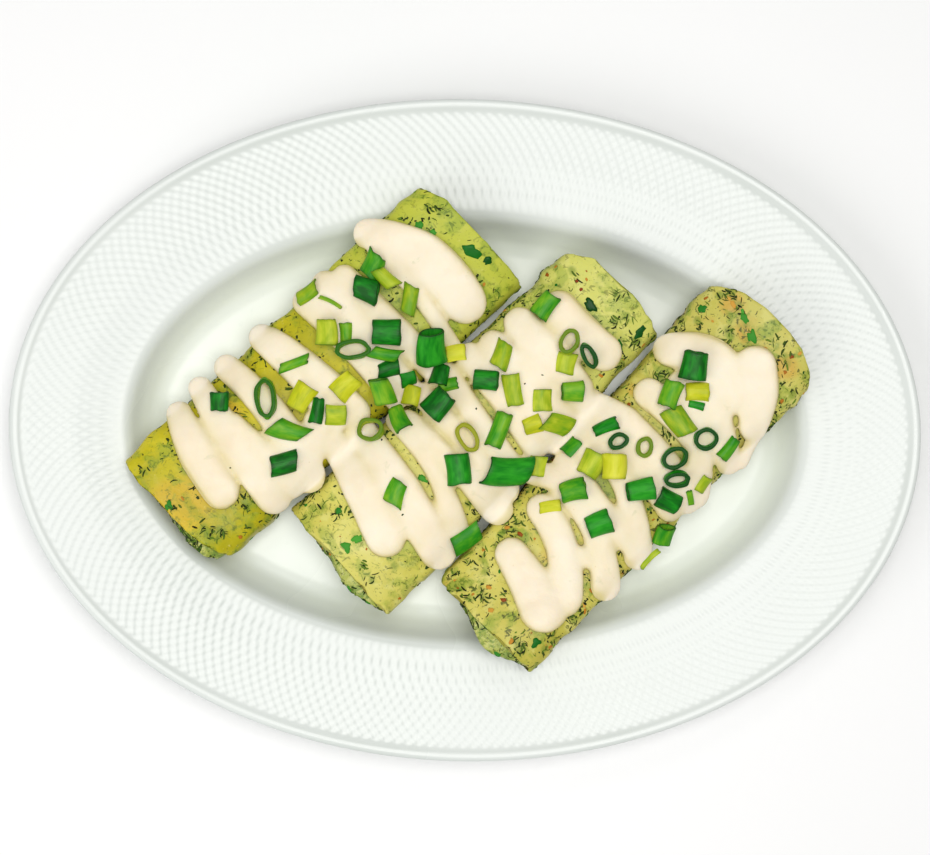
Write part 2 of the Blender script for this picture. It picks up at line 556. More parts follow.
def filling_material():
    """Curd and egg with chopped greens all through it."""
    paint = soft_painter("herb_filling", 0.45, 0.15, 0.002, (1.0, 0.8, 0.4))
    lumps = paint.noise(190, 4.0, 0.5, 0.6)
    greens = paint.noise(210, 5.0, 1.6, 0.6)
    paint.colour = paint.ramp(lumps, (0.3, "7f9232"), (0.48, "a5ae48"), (0.62, "c2c46a"), (0.8, "dcdba4"))
    paint.cover(greens, 0.47, 0.60, 0.8, "6c8a30")
    paint.cover(paint.noise(420, 4.0, 2.6, 0.6, (0.2, 0.5, 0.1)), 0.56, 0.66, 0.75, "303c16")
    paint.dots(260, 0.2, 0.5, "a7b950")
    paint.bump(lumps, 0.0018, 0.9)
    return paint.finish(paint.step(greens, 0.4, 0.7, 0.34, 0.55))


def cream_material():
    """Thick cream sauce, warmer and less opaque where it lies thin."""
    paint = soft_painter("cream_sauce", 0.25, 0.25, 0.003, (1.0, 0.75, 0.45))
    drift = paint.noise(38, 4.0, 0.4)
    body = paint.ramp(drift, (0.3, "f4e3c8"), (0.5, "f7e9d0"), (0.75, "faefda"))
    thin = paint.mix(paint.step(drift, 0.4, 0.7), "dccb8a", "e8d6a4")
    paint.colour = paint.mix(paint.step(paint.attribute("depth"), 0.05, 0.7), thin, body)
    paint.cover(paint.noise(120, 4.0, 0.8, shift=(0.3, 0.1, 0.7)), 0.64, 0.74, 0.35, "c9c79a")
    paint.dots(150, 0.06, 0.4, "cdb27c")
    paint.bump(paint.plus(paint.noise(140), paint.times(paint.noise(700), 0.2)), 0.0006, 0.5)
    return paint.finish(paint.step(drift, 0.3, 0.7, 0.34, 0.46))


def scallion_material(tone):
    """Soft stripes along the leaf, a paler inside and a darker cut edge."""
    dark, body, light, edge = SCALLION_COLOURS[tone]
    paint = soft_painter("scallion_" + tone, 0.2, 0.06, 0.001, (0.4, 1.0, 0.2))
    fibre = paint.attribute("fibre", "Vector")
    inside = paint.attribute("inside")
    stripes = paint.noise(1.0, 3.0, 0.2, 0.6, (0, 0, 0), fibre, (2.3, 0.12, 1))
    bands = paint.noise(1.0, 2.0, 0.3, 0.5, (3, 7, 0), fibre, (0.42, 0.16, 1))
    value = paint.plus(paint.times(stripes, 0.2), paint.times(bands, 0.62))
    value = paint.plus(value, paint.times(paint.attribute("shade"), 0.28))
    outer = paint.ramp(value, (0.38, dark), (0.54, body), (0.74, light))
    paint.colour = paint.mix(inside, outer, paint.mix(paint.step(stripes, 0.35, 0.65), body, light))
    paint.lay(paint.times(paint.attribute("edge"), 0.9), edge)
    paint.bump(stripes, 0.0002, 0.5)
    return paint.finish(paint.plus(paint.step(stripes, 0.3, 0.7, 0.34, 0.46), paint.times(inside, 0.2)))


def bit_material(name, dark, body, light, roughness=0.5):
    """Small bits whose colour differs from bit to bit."""
    paint = Painter(name, Specular_IOR_Level=0.12)
    value = paint.plus(paint.times(paint.attribute("shade"), 0.8), paint.times(paint.noise(600), 0.2))
    paint.colour = paint.ramp(value, (0.12, dark), (0.5, body), (0.88, light))
    paint.bump(paint.noise(1500, 2.0), 0.0001, 0.5)
    return paint.finish(paint.step(value, 0.2, 0.8, roughness - 0.1, roughness + 0.1))


def floor_material():
    paint = Painter("pale_floor", Specular_IOR_Level=0.2)
    paint.colour = paint.mix(paint.step(paint.noise(3, 2.0), 0.3, 0.7), "f8f9f8", "fbfbfb")
    return paint.finish(paint.step(paint.noise(8, 2.0), 0.3, 0.7, 0.75, 0.85))


# Meshes

def add_object(name, data):
    obj = bpy.data.objects.new(name, data)
    bpy.context.scene.collection.objects.link(obj)
    return obj


def dress(obj, material, nodes, sharp=None):
    """Make an object a piece of the part, in place of its CAD nodes."""
    obj.data.materials.clear()
    obj.data.materials.append(material)
    obj.data.shade_smooth()
    if sharp:
        obj.data.set_sharp_from_angle(angle=math.radians(sharp))
    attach(obj, "root")
    if nodes:
        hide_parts(*nodes)


def add_piece(name, mesh, material, nodes=(), sharp=None):
    dress(add_object(name, mesh), material, nodes, sharp)


def closed_mesh(name, points, faces):
    """Mesh of a closed form, with all its faces turned outwards."""
    mesh = bpy.data.meshes.new(name)
    mesh.from_pydata([tuple(point) for point in points], [], faces)
    bm = bmesh.new()
    bm.from_mesh(mesh)
    bmesh.ops.recalc_face_normals(bm, faces=bm.faces)
    bm.to_mesh(mesh)
    bm.free()
    return mesh


def band_faces(count, bands):
    """Four-cornered faces between closed rings of equal point count that follow each other."""
    faces = []
    for low in range(0, bands * count, count):
        for i in range(count):
            j = (i + 1) % count
            faces.append((low + i, low + j, low + count + j, low + count + i))
    return faces


def loft(name, rows, tips=(None, None)):
    """Mesh through rows of equal point count, capped flat or brought to tips."""
    count = len(rows[0])
    points = [point for row in rows for point in row]
    faces = band_faces(count, len(rows) - 1)
    for first, tip in zip((0, len(points) - count), tips):
        ring = range(first, first + count)
        if tip is None:
            faces.append(tuple(ring))
            continue
        points.append(tip)
        faces.extend((i, first + (i + 1 - first) % count, len(points) - 1) for i in ring)
    return closed_mesh(name, points, faces)


def set_attribute(mesh, name, values, kind="FLOAT", field="value"):
    """Give each vertex a number, or a vector."""
    attribute = mesh.attributes.new(name, kind, "POINT")
    attribute.data.foreach_set(field, np.array(values, dtype=np.float32).ravel())


def surface_tree(mesh):
    """Tree for nearest points and rays on a mesh whose points are world points."""
    return BVHTree.FromPolygons(
        [vertex.co.copy() for vertex in mesh.vertices], [tuple(face.vertices) for face in mesh.polygons]
    )


def apply_modifiers(obj):
    graph = bpy.context.evaluated_depsgraph_get()
    graph.update()
    mesh = bpy.data.meshes.new_from_object(obj.evaluated_get(graph))
    obj.modifiers.clear()
    old = obj.data
    obj.data = mesh
    bpy.data.meshes.remove(old)


def signed_power(value, power):
    return math.copysign(abs(value) ** power, value)


def clamp(value, low=0.0, high=1.0):
    return min(max(value, low), high)


def highest(values, default):
    """The highest of the values that aren't None."""
    return max((value for value in values if value is not None), default=default)


# Plate

def rounded(points, radius, samples=4):
    """The open outline with each corner replaced by a short curve."""
    outline = [Vector(points[0])]
    for before, corner, after in zip(points, points[1:], points[2:]):
        corner = Vector(corner)
        back = Vector(before) - corner
        ahead = Vector(after) - corner
        start = corner + back * min(0.45, radius / back.length)
        end = corner + ahead * min(0.45, radius / ahead.length)
        for k in range(samples + 1):
            t = k / samples
            outline.append(start * (1 - t) ** 2 + corner * 2 * t * (1 - t) + end * t ** 2)
    outline.append(Vector(points[-1]))
    return outline


def relief_rows():
    """(inset, row position) for each ring of the relief, from the well outwards."""
    inset = RELIEF_START
    for number, length in enumerate(RELIEF_ROWS):
        for k in range(SAMPLES_PER_ROW):
            yield inset - length * k / SAMPLES_PER_ROW, number + k / SAMPLES_PER_ROW
        inset -= length


def plate_rows():
    """(inset, height, row position or None) from the middle of the floor to that of the underside."""
    outline = rounded(PLATE_TOP_PROFILE[::-1] + PLATE_UNDER_PROFILE[::-1], CORNER_RADIUS)
    lip = min(range(len(outline)), key=lambda i: outline[i][0])
    top = outline[:lip]
    heights = [(point[0], point[1]) for point in reversed(top)]
    relief_end = RELIEF_START - sum(RELIEF_ROWS)
    rows = [(inset, PLATE_TOP_PROFILE[-1][1], None) for inset in FLOOR_INSETS]
    rows.extend((x, z, None) for x, z in top if x > RELIEF_START + 0.5)
    for inset, position in relief_rows():
        height = float(np.interp(inset, [x for x, _ in heights], [z for _, z in heights]))
        rows.append((inset, height, position))
    rows.extend((x, z, None) for x, z in top if x < relief_end)
    rows.extend((x, z, None) for x, z in outline[lip:])
    return rows


def plate_angles():
    """Angles that space the columns evenly along the middle of the rim."""
    count = BUMPS_ROUND * SAMPLES_PER_BUMP
    middle = (RELIEF_START - sum(RELIEF_ROWS) / 2) * MM
    fine = np.linspace(0, 2 * np.pi, 8001)
    x = (PLATE_LENGTH / 2 - middle) * np.cos(fine)
    y = (PLATE_WIDTH / 2 - middle) * np.sin(fine)
    run = np.concatenate([[0], np.cumsum(np.hypot(np.diff(x), np.diff(y)))])
    return np.interp(np.linspace(0, run[-1], count + 1)[:-1], run, fine)


def plate_mesh():
    angles = plate_angles()
    column = np.arange(len(angles)) / SAMPLES_PER_BUMP
    span = len(RELIEF_ROWS)
    rows = []
    for inset, height, position in plate_rows():
        lift = np.zeros(len(angles))
        if position is not None:
            fade = min(1.0, (position + 0.34) * 1.5, (span - position) * 1.5)
            lift = RELIEF_HEIGHT * fade * np.cos(2 * np.pi * column) * math.cos(math.pi * position)
        x = (PLATE_LENGTH / 2 - inset * MM) * np.cos(angles)
        y = (PLATE_WIDTH / 2 - inset * MM) * np.sin(angles)
        z = (height + lift) * MM
        rows.append(list(zip(x.tolist(), y.tolist(), z.tolist())))
    return loft("plate", rows)


def plate_inset(x, y):
    """Inset from the outer edge of the oval through this point, in metres."""
    low = 0.0
    high = PLATE_WIDTH / 2 - MM
    for _ in range(20):
        middle = (low + high) / 2
        across = (x / (PLATE_LENGTH / 2 - middle)) ** 2 + (y / (PLATE_WIDTH / 2 - middle)) ** 2
        if across < 1:
            low = middle
        else:
            high = middle
    return low


def rest_height(x, y):
    """Height of the surface that food on the plate lies on."""
    inset = plate_inset(x, y) / MM
    for (inset0, height0), (inset1, height1) in zip(REST_PROFILE, REST_PROFILE[1:]):
        if inset <= inset1:
            share = (inset - inset0) / (inset1 - inset0)
            return (height0 + share * (height1 - height0)) * MM
    return FLOOR_TOP


# Crepes

def drape(x, y, height, full_height):
    """Height above the ground of a point of a crepe that lies on the plate."""
    rise = rest_height(x, y) - FLOOR_TOP
    return FLOOR_TOP + GAP + height + rise * (1 - (1 - TOP_LIFT) * height / full_height)


def skin_dent(crepe, along, step):
    """Depth of the shallow dents and wrinkles in a crepe's outer face, deepest on its flanks."""
    u = along * crepe.length
    v = step * STEP_RUN
    flank = abs(math.cos(2 * math.pi * step / STEPS_PER_TURN + 2 * math.pi * SEAM_STEP / STEPS_PER_TURN)) ** 3
    broad = noise.noise(Vector((u / 9, v / 12, crepe.length)))
    wrinkle = abs(noise.noise(Vector((u / 5, v / 16, crepe.heading))))
    fine = noise.noise(Vector((u / 1.9, v / 1.9, crepe.x)))
    return DENT_DEPTH * (0.42 + (0.4 + 0.5 * flank) * broad + 0.12 * fine + 0.3 * (0.5 - wrinkle))


def room_beside(crepe, x, y):
    """Distance from a point of a crepe to the nearest other crepe's flank."""
    room = 1.0
    for other in CREPES:
        along, across = other.local(x, y)
        if other is not crepe and -0.04 < along < 1.04:
            room = min(room, abs(across) - other.half_width(along))
    return room


def flank_swell(crepe, along, step):
    """How far a flank stands out: in soft waves where it is free, else towards its neighbour."""
    flank = math.cos(2 * math.pi * (SEAM_STEP + step) / STEPS_PER_TURN) ** 4
    if flank < 0.02:
        return 0.0
    x, y, _ = crepe.point(along, SEAM_STEP + step, 0.0)
    room = room_beside(crepe, x, y)
    where = Vector((along * crepe.length / SWELL_WAVE, round(step / 10) * 3.0, crepe.length))
    wave = 0.35 + noise.noise(where)
    close = clamp(2 * (1 - room / FREE_ROOM))
    wave = close + (1 - close) * max(0.0, wave)
    ends = min(1.0, min(along, 1 - along) * crepe.length / (SWELL_FADE - 5 * close))
    return min(SWELL * (1 + 0.7 * close) * wave * ends, max(0.0, (room - LEAST_ROOM) / 2)) * flank


def skin_stations(crepe):
    """(share of the length, thinning in metres) of each row: the ends of the sheet are rounded off."""
    edge = [(distance / crepe.length, thin * MM) for distance, thin in SKIN_EDGE_ROWS]
    first = edge[-1][0] + 0.004
    body = [(first + (1 - 2 * first) * k / FINE_STATIONS, 0.0) for k in range(FINE_STATIONS + 1)]
    return edge + body + [(1 - along, thin) for along, thin in reversed(edge)]


def edge_wave(crepe, along, step):
    """How far the sheet's ends wander in and out, fading away from the ends."""
    near = max(0.0, 1 - min(along, 1 - along) * crepe.length / EDGE_FADE)
    if near == 0.0:
        return 0.0
    end = 0 if along < 0.5 else 9
    wave = noise.noise(Vector((step * 0.8, end, crepe.length)))
    wave += 0.5 * noise.noise(Vector((step * 2.4, end, 3)))
    return near * (EDGE_WAVE * wave - (EDGE_REACH if end == 0 else 0.0))


def skin_mesh(crepe):
    """The rolled sheet with dents, wrinkles and slightly ragged, rounded ends."""
    rows = []
    for along, thin in skin_stations(crepe):
        outside = []
        inside = []
        for i in range(ROLL_STEPS * FINE_STEPS + 1):
            step = i / FINE_STEPS
            extra = edge_wave(crepe, along, step)
            dent = max(0.0, skin_dent(crepe, along, step)) * (1 - thin / SKIN_THICKNESS)
            inset = LAYER_PITCH * step / STEPS_PER_TURN - flank_swell(crepe, along, step)
            outside.append(crepe.point(along, SEAM_STEP + step, inset + thin + dent, extra))
            inside.append(crepe.point(along, SEAM_STEP + step, inset + SKIN_THICKNESS - thin, extra))
        rows.append(outside + inside[::-1])
    mesh = loft("skin", rows)
    set_attribute(mesh, "along", [along for along, _ in skin_stations(crepe) for _ in rows[0]])
    return mesh


def filling_inset(step):
    """Depth of the filling's surface below the section's outline, in steps from the seam."""

    def turns(i):
        return i / STEPS_PER_TURN + (1 if i <= ROLL_STEPS - STEPS_PER_TURN else 0)

    low = math.floor(step)
    share = step - low
    return LAYER_PITCH * (turns(low) * (1 - share) + turns(low + 1) * share) + SKIN_THICKNESS + GAP


def filling_ring(crepe, along, bulge=0.0, turn=0.0):
    """Section of the filling; at the start it turns outwards by a share of its bulge."""
    forward = bulge * math.sin(turn * math.pi / 2)
    shrink = 0.3 * bulge * (1 - math.cos(turn * math.pi / 2))
    ring = []
    for i in range(STEPS_PER_TURN * FINE_STEPS):
        step = i / FINE_STEPS
        inset = filling_inset(step) + shrink
        across, _ = crepe.section(along, SEAM_STEP + step, inset)
        side = across / crepe.half_width(along)
        out = forward * math.exp(-((side - crepe.bulge_side) / BULGE_SPREAD) ** 2)
        ring.append(Vector(crepe.point(along, SEAM_STEP + step, inset, -out)))
    return ring


def cap_rows(ring, crepe, swell):
    """Rows from an end ring to the middle of a lumpy, slightly domed end face."""
    way = Vector((*crepe.way(), 0))
    middle = sum(ring, Vector()) / len(ring) + way * swell
    rows = []
    for k in range(1, CAP_RINGS):
        share = k / CAP_RINGS
        dome = swell * (math.sqrt(1 - (1 - share) ** 2) - share)
        row = []
        for point in ring:
            place = point.lerp(middle, share)
            lump = noise.noise(place * 330) + 0.5 * noise.noise(place * 900)
            row.append(place + way * (dome + math.copysign(LUMP, swell) * lump * min(1, 4 * share)))
        rows.append(row)
    return rows, middle


def filling_mesh(crepe):
    """The core: it bulges out at the start and ends inside the sheet."""
    bulge = crepe.bulge * MM
    rows = [filling_ring(crepe, 0.0, bulge, turn) for turn in BULGE_TURNS]
    last = 1 - RECESS / (crepe.length * MM)
    rows.extend(filling_ring(crepe, last * k / CORE_STATIONS) for k in range(CORE_STATIONS + 1))
    for row in rows[:len(BULGE_TURNS)]:
        for point in row:
            point += Vector((1, 1, 1)) * CORE_ROUGH * MM * noise.noise(point * 420)
    start_rows, start_tip = cap_rows(rows[0], crepe, -CORE_SWELL)
    end_rows, end_tip = cap_rows(rows[-1], crepe, CORE_SWELL)
    return loft("filling", start_rows[::-1] + rows + end_rows, (start_tip, end_tip))


def crepe_top(crepe, x, y, margin=0.0, reach=1.0):
    """Height of the sheet's top over a point, kept level past a share of the width.

    A margin swells the outline, and None means that the point is off the crepe.
    """
    along, across = crepe.local(x, y)
    if not 0 - margin / (crepe.length * MM) <= along <= 1 + margin / (crepe.length * MM):
        return None
    along = clamp(along)
    full_height = crepe.height(along)
    side = across / (crepe.half_width(along) + margin)
    if abs(side) >= 1.0 and reach == 1.0:
        return None
    side = clamp(side, -reach, reach)
    angle = math.acos(signed_power(side, SECTION_POWER / 2))
    inset = LAYER_PITCH * (angle / (2 * math.pi) - SEAM_STEP / STEPS_PER_TURN)
    half_height = full_height / 2 - inset + margin
    height = full_height / 2 + half_height * (1 - abs(side) ** SECTION_POWER) ** (1 / SECTION_POWER)
    return drape(x, y, height, full_height)


def covering_height(x, y):
    """Height of the surface that the sauce is laid on: crepes and the creases between."""
    tops = []
    for crepe in CREPES:
        along, across = crepe.local(x, y)
        if abs(across) - crepe.half_width(along) <= COVER_REACH:
            cosine, sine = crepe.way()
            back = (clamp(along, 0.01, 0.99) - along) * crepe.length * MM
            tops.append(crepe_top(crepe, x + back * cosine, y + back * sine, reach=EDGE_DROP))
    return highest(tops, FLOOR_TOP + CREPE_HEIGHT / 2)


def covering_normal(x, y, span=3 * MM):
    """Upward normal of that surface, over a span that smooths the creases."""
    slope_x = (covering_height(x + span, y) - covering_height(x - span, y)) / (2 * span)
    slope_y = (covering_height(x, y + span) - covering_height(x, y - span)) / (2 * span)
    normal = Vector((-slope_x, -slope_y, 1)).normalized()
    tilt = normal.angle(UP)
    if tilt > math.radians(MAX_TILT):
        normal = UP.slerp(normal, math.radians(MAX_TILT) / tilt)
    return normal


# Sauce

def strand_stations(strand):
    """Ground point, direction, half width and share of it along a strand, with rounded ends."""
    start = Vector((strand.x0, strand.y0)) * MM
    end = Vector((strand.x1, strand.y1)) * MM
    run = end - start
    sideways = Vector((-run.y, run.x)).normalized()
    control = (start + end) / 2 + sideways * 2 * strand.bow * MM
    steps = max(3, round(run.length / STRAND_STEP))

    def half_width(t):
        low = strand.r0 + (strand.mid - strand.r0) * min(t * 2, 1)
        return (low + (strand.r1 - strand.mid) * max(t * 2 - 1, 0)) * MM

    caps = [(math.sin(math.radians(angle)), math.cos(math.radians(angle))) for angle in STRAND_CAP_ANGLES]
    way = (control - start).normalized()
    stations = [(start - way * half_width(0) * out, way, half_width(0), scale) for out, scale in caps]
    for i in range(steps + 1):
        t = i / steps
        centre = start * (1 - t) ** 2 + control * 2 * t * (1 - t) + end * t ** 2
        way = ((control - start) * (1 - t) + (end - control) * t).normalized()
        stations.append((centre, way, half_width(t), 1.0))
    way = (end - control).normalized()
    stations += [(end + way * half_width(1) * out, way, half_width(1), scale) for out, scale in caps[::-1]]
    return stations


def strand_mesh(strand):
    """One strand: oval sections that lie along the covering surface, with a soft wobble."""
    rings = []
    for centre, way, half_width, scale in strand_stations(strand):
        normal = covering_normal(centre.x, centre.y)
        side = Vector((way.x, way.y, 0)).cross(normal).normalized()
        middle = Vector((centre.x, centre.y, covering_height(centre.x, centre.y)))
        wobble = 1 + 0.10 * noise.noise(middle * 110 + Vector((0, 0, strand.x0)))
        thickness = (STRAND_BASE_HEIGHT + STRAND_HEIGHT_SHARE * half_width) * wobble
        ring = []
        for i in range(STRAND_SIDES):
            angle = 2 * math.pi * i / STRAND_SIDES
            aside = half_width * signed_power(math.cos(angle), 2 / STRAND_POWER)
            up = thickness * signed_power(math.sin(angle), 2 / STRAND_POWER)
            ring.append(middle + (side * aside + normal * up) * scale)
        rings.append(ring)
    tips = [sum(ring, Vector()) / STRAND_SIDES for ring in (rings[0], rings[-1])]
    return loft("strand", rings, tips)


def join_meshes(name, meshes):
    """Several meshes as one, with nothing merged."""
    bm = bmesh.new()
    for mesh in meshes:
        bm.from_mesh(mesh)
        bpy.data.meshes.remove(mesh)
    joined = bpy.data.meshes.new(name)
    bm.to_mesh(joined)
    bm.free()
    return joined


def mesh_arrays(mesh):
    """Vertex places and normals of a mesh as arrays."""
    points = np.empty(len(mesh.vertices) * 3)
    normals = np.empty(len(mesh.vertices) * 3)
    mesh.vertices.foreach_get("co", points)
    mesh.vertices.foreach_get("normal", normals)
    return points.reshape(-1, 3), normals.reshape(-1, 3)


def neighbour_means(mesh, count):
    """A function that gives, for a value at each vertex, the mean over its neighbours."""
    edges = np.empty(len(mesh.edges) * 2, dtype=np.int64)
    mesh.edges.foreach_get("vertices", edges)
    first, second = edges.reshape(-1, 2).T
    valence = np.bincount(first, minlength=count) + np.bincount(second, minlength=count)

    def means(z):
        total = np.bincount(first, z[second], count) + np.bincount(second, z[first], count)
        return total / valence

    return means


def crease_share(x, y):
    """How close a point lies to the long edge of a crepe, from 0 to 1."""
    share = 0.0
    for crepe in CREPES:
        along, across = crepe.local(x, y)
        if -0.03 < along < 1.03:
            share = max(share, 1 - abs(abs(across) - crepe.half_width(along)) / CREASE_REACH)
    return share


def settle_cream(means, points, upper, near):
    """Let the upper face run together: hollows fill, crests slump and folds soften."""
    z = points[:, 2]
    for _ in range(CREASE_PASSES):
        z = np.maximum(z, z + near * (means(z) - z))
    z = np.where(upper, np.maximum(z, means(z)), z)
    under = np.array([covering_height(x, y) for x, y, _ in points])
    z = z - np.where(upper, SLUMP * np.maximum(0.0, z - under - FLAT_DEPTH), 0.0)
    for _ in range(SOFTEN_PASSES):
        z = np.where(upper, (z + means(z)) / 2, z)
    points[:, 2] = z


def least_height(x, y):
    """Height that just clears the crepes over a point."""
    return highest([crepe_top(crepe, x, y, SAUCE_CLEARANCE) for crepe in CREPES], 0.0)


def sauce_piece(material):
    """All strands melted into one body that lies just clear of the crepes."""
    sauce = add_object("cream_sauce", join_meshes("sauce", [strand_mesh(strand) for strand in STRANDS]))
    melt = sauce.modifiers.new("melt", "REMESH")
    melt.mode = "VOXEL"
    melt.voxel_size = SAUCE_VOXEL
    soften = sauce.modifiers.new("soften", "SMOOTH")
    soften.factor = 0.5
    soften.iterations = MELT_PASSES
    apply_modifiers(sauce)
    mesh = sauce.data
    points, normals = mesh_arrays(mesh)
    upper = normals[:, 2] > UPPER_FACE
    means = neighbour_means(mesh, len(points))
    near = np.where(upper, [crease_share(x, y) for x, y, _ in points], 0.0)
    settle_cream(means, points, upper, near)
    for i in np.flatnonzero(upper):
        point = Vector(points[i])
        ripple = noise.noise(point * 95) + 0.4 * noise.noise(point * 260)
        points[i] = point + Vector(normals[i]) * RIPPLE * ripple
    least = np.array([least_height(x, y) for x, y, _ in points])
    z = np.maximum(points[:, 2], least)
    for _ in range(CREASE_PASSES):
        z = np.maximum(z + near * (means(z) - z) / 2, least)
    points[:, 2] = z
    mesh.vertices.foreach_set("co", points.ravel())
    mesh.update()
    set_attribute(mesh, "depth", np.minimum((z - least) / SAUCE_FULL_DEPTH, 1.0))
    dress(sauce, material, ["sauce"])
    return sauce


# Scallions

def cut_form(cut):
    """Width, height, wall, sweep in degrees and number of sides of a cut's bent wall."""
    width = cut.width * MM
    if cut.kind == "ring":
        return cut.length * MM, width, RING_WALL, 360, 40
    across, up, sweep, sides = CUT_FORMS[cut.kind]
    return width * across, width * up, SCALLION_WALL, sweep, sides


def cut_rows(cut):
    """(share of the length from -0.5 to 0.5, thinning in metres, edge mark) of each row."""
    full = RING_HEIGHT if cut.kind == "ring" else cut.length * MM
    edge = [(distance * MM / full, thin * MM, 1.0 if thin else 0.5) for distance, thin in CUT_EDGE_ROWS]
    first = [(-0.5 + share, thin, mark) for share, thin, mark in edge]
    low = first[-1][0]
    body = [(low + (-2 * low) * k / 8, 0.0, 0.0) for k in range(1, 8)]
    return first + body + [(0.5 - share, thin, mark) for share, thin, mark in reversed(edge)]


def cut_faces(count, rows, full):
    """Faces of an outer and an inner wall whose points alternate row by row, with its cut ends."""
    faces = []
    last = count if full else count - 1
    for low in range(0, 2 * count * (rows - 1), 2 * count):
        high = low + 2 * count
        for i in range(last):
            j = (i + 1) % count
            for side in (0, count):
                faces.append((low + side + i, low + side + j, high + side + j, high + side + i))
        if not full:
            faces.extend((low + i, high + i, high + count + i, low + count + i) for i in (0, last))
    for low in (0, 2 * count * (rows - 1)):
        for i in range(last):
            j = (i + 1) % count
            faces.append((low + i, low + j, low + count + j, low + count + i))
    return faces


def cut_mesh(cut, draw):
    """A cut length of scallion along local X, or a ring that stands on its cut."""
    width, height, wall, sweep, sides = cut_form(cut)
    full = sweep >= 360
    length = cut.length * MM
    lean = 2 * cut.slant / cut.width
    shade = draw.random()
    seed = draw.random() * 50
    bend = draw.uniform(-0.05, 0.05)
    taper = draw.uniform(-0.25, 0.25)
    angles = [math.radians(90 - sweep / 2 + sweep * i / sides) for i in range(sides if full else sides + 1)]
    drop = (height / 2 - wall) * math.sin(angles[0]) if cut.kind == "strip" else 0.0
    points = []
    fibres = []
    inside = []
    edges = []
    rows = cut_rows(cut)
    for share, thin, edge in rows:
        for inner in (0, 1):
            inset = wall - thin if inner else thin
            for angle in angles:
                spot = Vector((math.cos(angle) * 1.3, math.sin(angle) * 1.3, share * 1.5 + seed))
                wobble = 1 + (0.14 if cut.kind == "ring" else 0.05) * noise.noise(spot)
                across = (width / 2 - inset) * math.cos(angle) * wobble
                up = (height / 2 - inset) * math.sin(angle) * wobble - drop
                if cut.kind == "ring":
                    points.append((across, up, share * RING_HEIGHT))
                else:
                    shift = bend * length * (1 - 4 * share * share)
                    ragged = CUT_RAGGED * (2 * share) ** 3 * (0.6 + noise.noise(spot * 0.9))
                    reach = share * length + lean * across - ragged
                    points.append((reach, across * (1 + taper * share) + shift, up * (1 + taper * share)))
                fibres.append((angle * width / 2 / MM, share * length / MM, seed))
                inside.append(float(inner))
                edges.append(edge)
    mesh = closed_mesh(cut.kind, points, cut_faces(len(angles), len(rows), full))
    set_attribute(mesh, "fibre", fibres, "FLOAT_VECTOR", "vector")
    set_attribute(mesh, "inside", inside)
    set_attribute(mesh, "edge", edges)
    set_attribute(mesh, "shade", [shade] * len(points))
    return mesh


def placed_cut(cut, draw, detail):
    """The cut turned and tilted to the surface under it, at the height of that surface."""
    x = cut.x * MM
    y = cut.y * MM
    lean = Matrix.Rotation(math.radians(draw.uniform(-LEAN, LEAN)), 4, "X")
    raised = Matrix.Rotation(math.radians(-cut.pitch), 4, "Y")
    turn = Matrix.Rotation(math.radians(cut.heading), 4, "Z")
    tilt = UP.rotation_difference(covering_normal(x, y, 5 * MM)).to_matrix().to_4x4()
    mesh = cut_mesh(cut, detail)
    mesh.transform(Matrix.Translation((x, y, covering_height(x, y))) @ tilt @ turn @ raised @ lean)
    return mesh


def is_node(cut):
    return cut.off_sauce or max(cut.length, cut.width) * MM >= BERRY_SIZE


def room_below(mesh, trees):
    """Smallest drop from a mesh's points to what lies under them."""
    room = 1.0
    for vertex in mesh.vertices:
        for tree in trees:
            hit = tree.ray_cast(vertex.co + UP * (20 * MM), DOWN)[0]
            if hit is not None:
                room = min(room, vertex.co.z - hit.z)
    return room


def move_up(mesh, distance):
    mesh.transform(Matrix.Translation((0, 0, distance)))


def scallions(materials, trees):
    """Cuts on the sauce: the small ones sit in it, and the large ones lie where their nodes are."""
    draw = random.Random(SEED)
    detail = random.Random(SEED + 1)
    cuts = [(cut, placed_cut(cut, draw, detail)) for cut in CUTS]
    large = [pair for pair in cuts if is_node(pair[0])]
    small = {}
    for cut, mesh in cuts:
        if not is_node(cut):
            move_up(mesh, -room_below(mesh, trees) - SINK)
            small.setdefault(cut.tone, []).append(mesh)
    for number, (cut, mesh) in enumerate(large, 1):
        node = "scallion_%02d" % number
        move_up(mesh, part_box(node)[0].z - min(vertex.co.z for vertex in mesh.vertices))
        move_up(mesh, -clamp(room_below(mesh, trees) + PRESS, -SETTLE, SETTLE))
        trees.append(surface_tree(mesh))
        add_piece(node + "_leaf", mesh, materials[cut.tone], [node], SHARP)
    for tone, group in small.items():
        joined = join_meshes("small_cuts", group)
        add_piece("small_cuts_" + tone, joined, materials[tone], ["sauce"], SHARP)


# Herbs and other bits in the skins and fillings

def along_surface(way, normal):
    """The part of a direction that runs along a surface."""
    return (way - normal * way.dot(normal)).normalized()


def random_vector(draw, spread):
    return Vector([draw.gauss(0, spread) for _ in range(3)])


